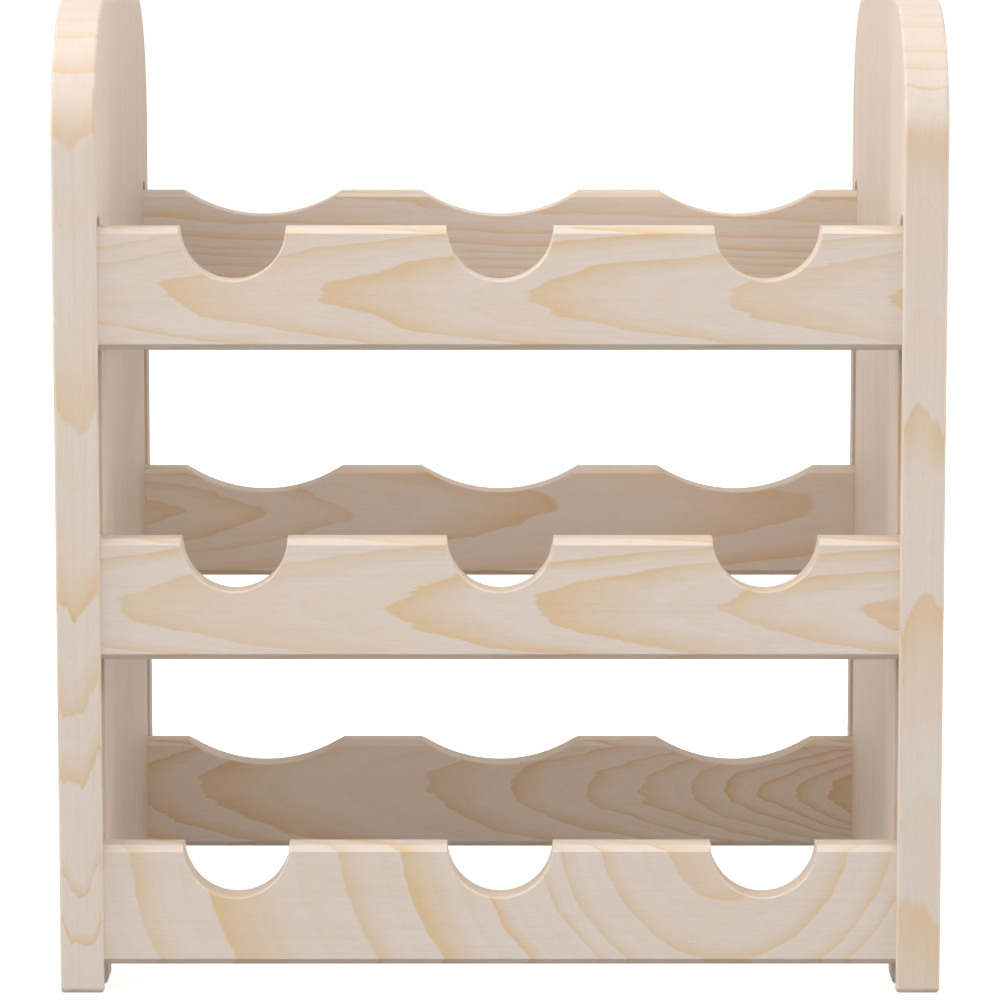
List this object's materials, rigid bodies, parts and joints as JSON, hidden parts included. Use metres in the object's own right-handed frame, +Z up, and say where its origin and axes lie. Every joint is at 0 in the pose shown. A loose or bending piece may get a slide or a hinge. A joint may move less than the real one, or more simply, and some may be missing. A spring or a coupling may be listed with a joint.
{
  "type": "wine rack",
  "caption": "Free-standing wooden wine rack: side panels joined by rails with half-round neck notches in front and shallow body cradles behind.",
  "frame": {"origin": "centre of the footprint, on the plane the feet stand on", "axes": "+Z up, front of the rack (the notched rails) towards -Y, +X to the right seen from the front"},
  "size_m": [0.36, 0.28, 0.404],
  "materials": {
    "side_panel_pine": "raw",
    "rail_pine": "raw",
    "screw_steel": "zinc-plated"
  },
  "bodies": {
    "root": {"left_side_panel": "side_panel_pine", "right_side_panel": "side_panel_pine", "bottom_front_rail": "rail_pine", "bottom_rear_rail": "rail_pine", "middle_front_rail": "rail_pine", "middle_rear_rail": "rail_pine", "top_front_rail": "rail_pine", "top_rear_rail": "rail_pine", "bottom_front_left_screw": "screw_steel", "bottom_front_right_screw": "screw_steel", "bottom_rear_left_screw": "screw_steel", "bottom_rear_right_screw": "screw_steel", "middle_front_left_screw": "screw_steel", "middle_front_right_screw": "screw_steel", "middle_rear_left_screw": "screw_steel", "middle_rear_right_screw": "screw_steel", "top_front_left_screw": "screw_steel", "top_front_right_screw": "screw_steel", "top_rear_left_screw": "screw_steel", "top_rear_right_screw": "screw_steel"}
  },
  "joints": []
}
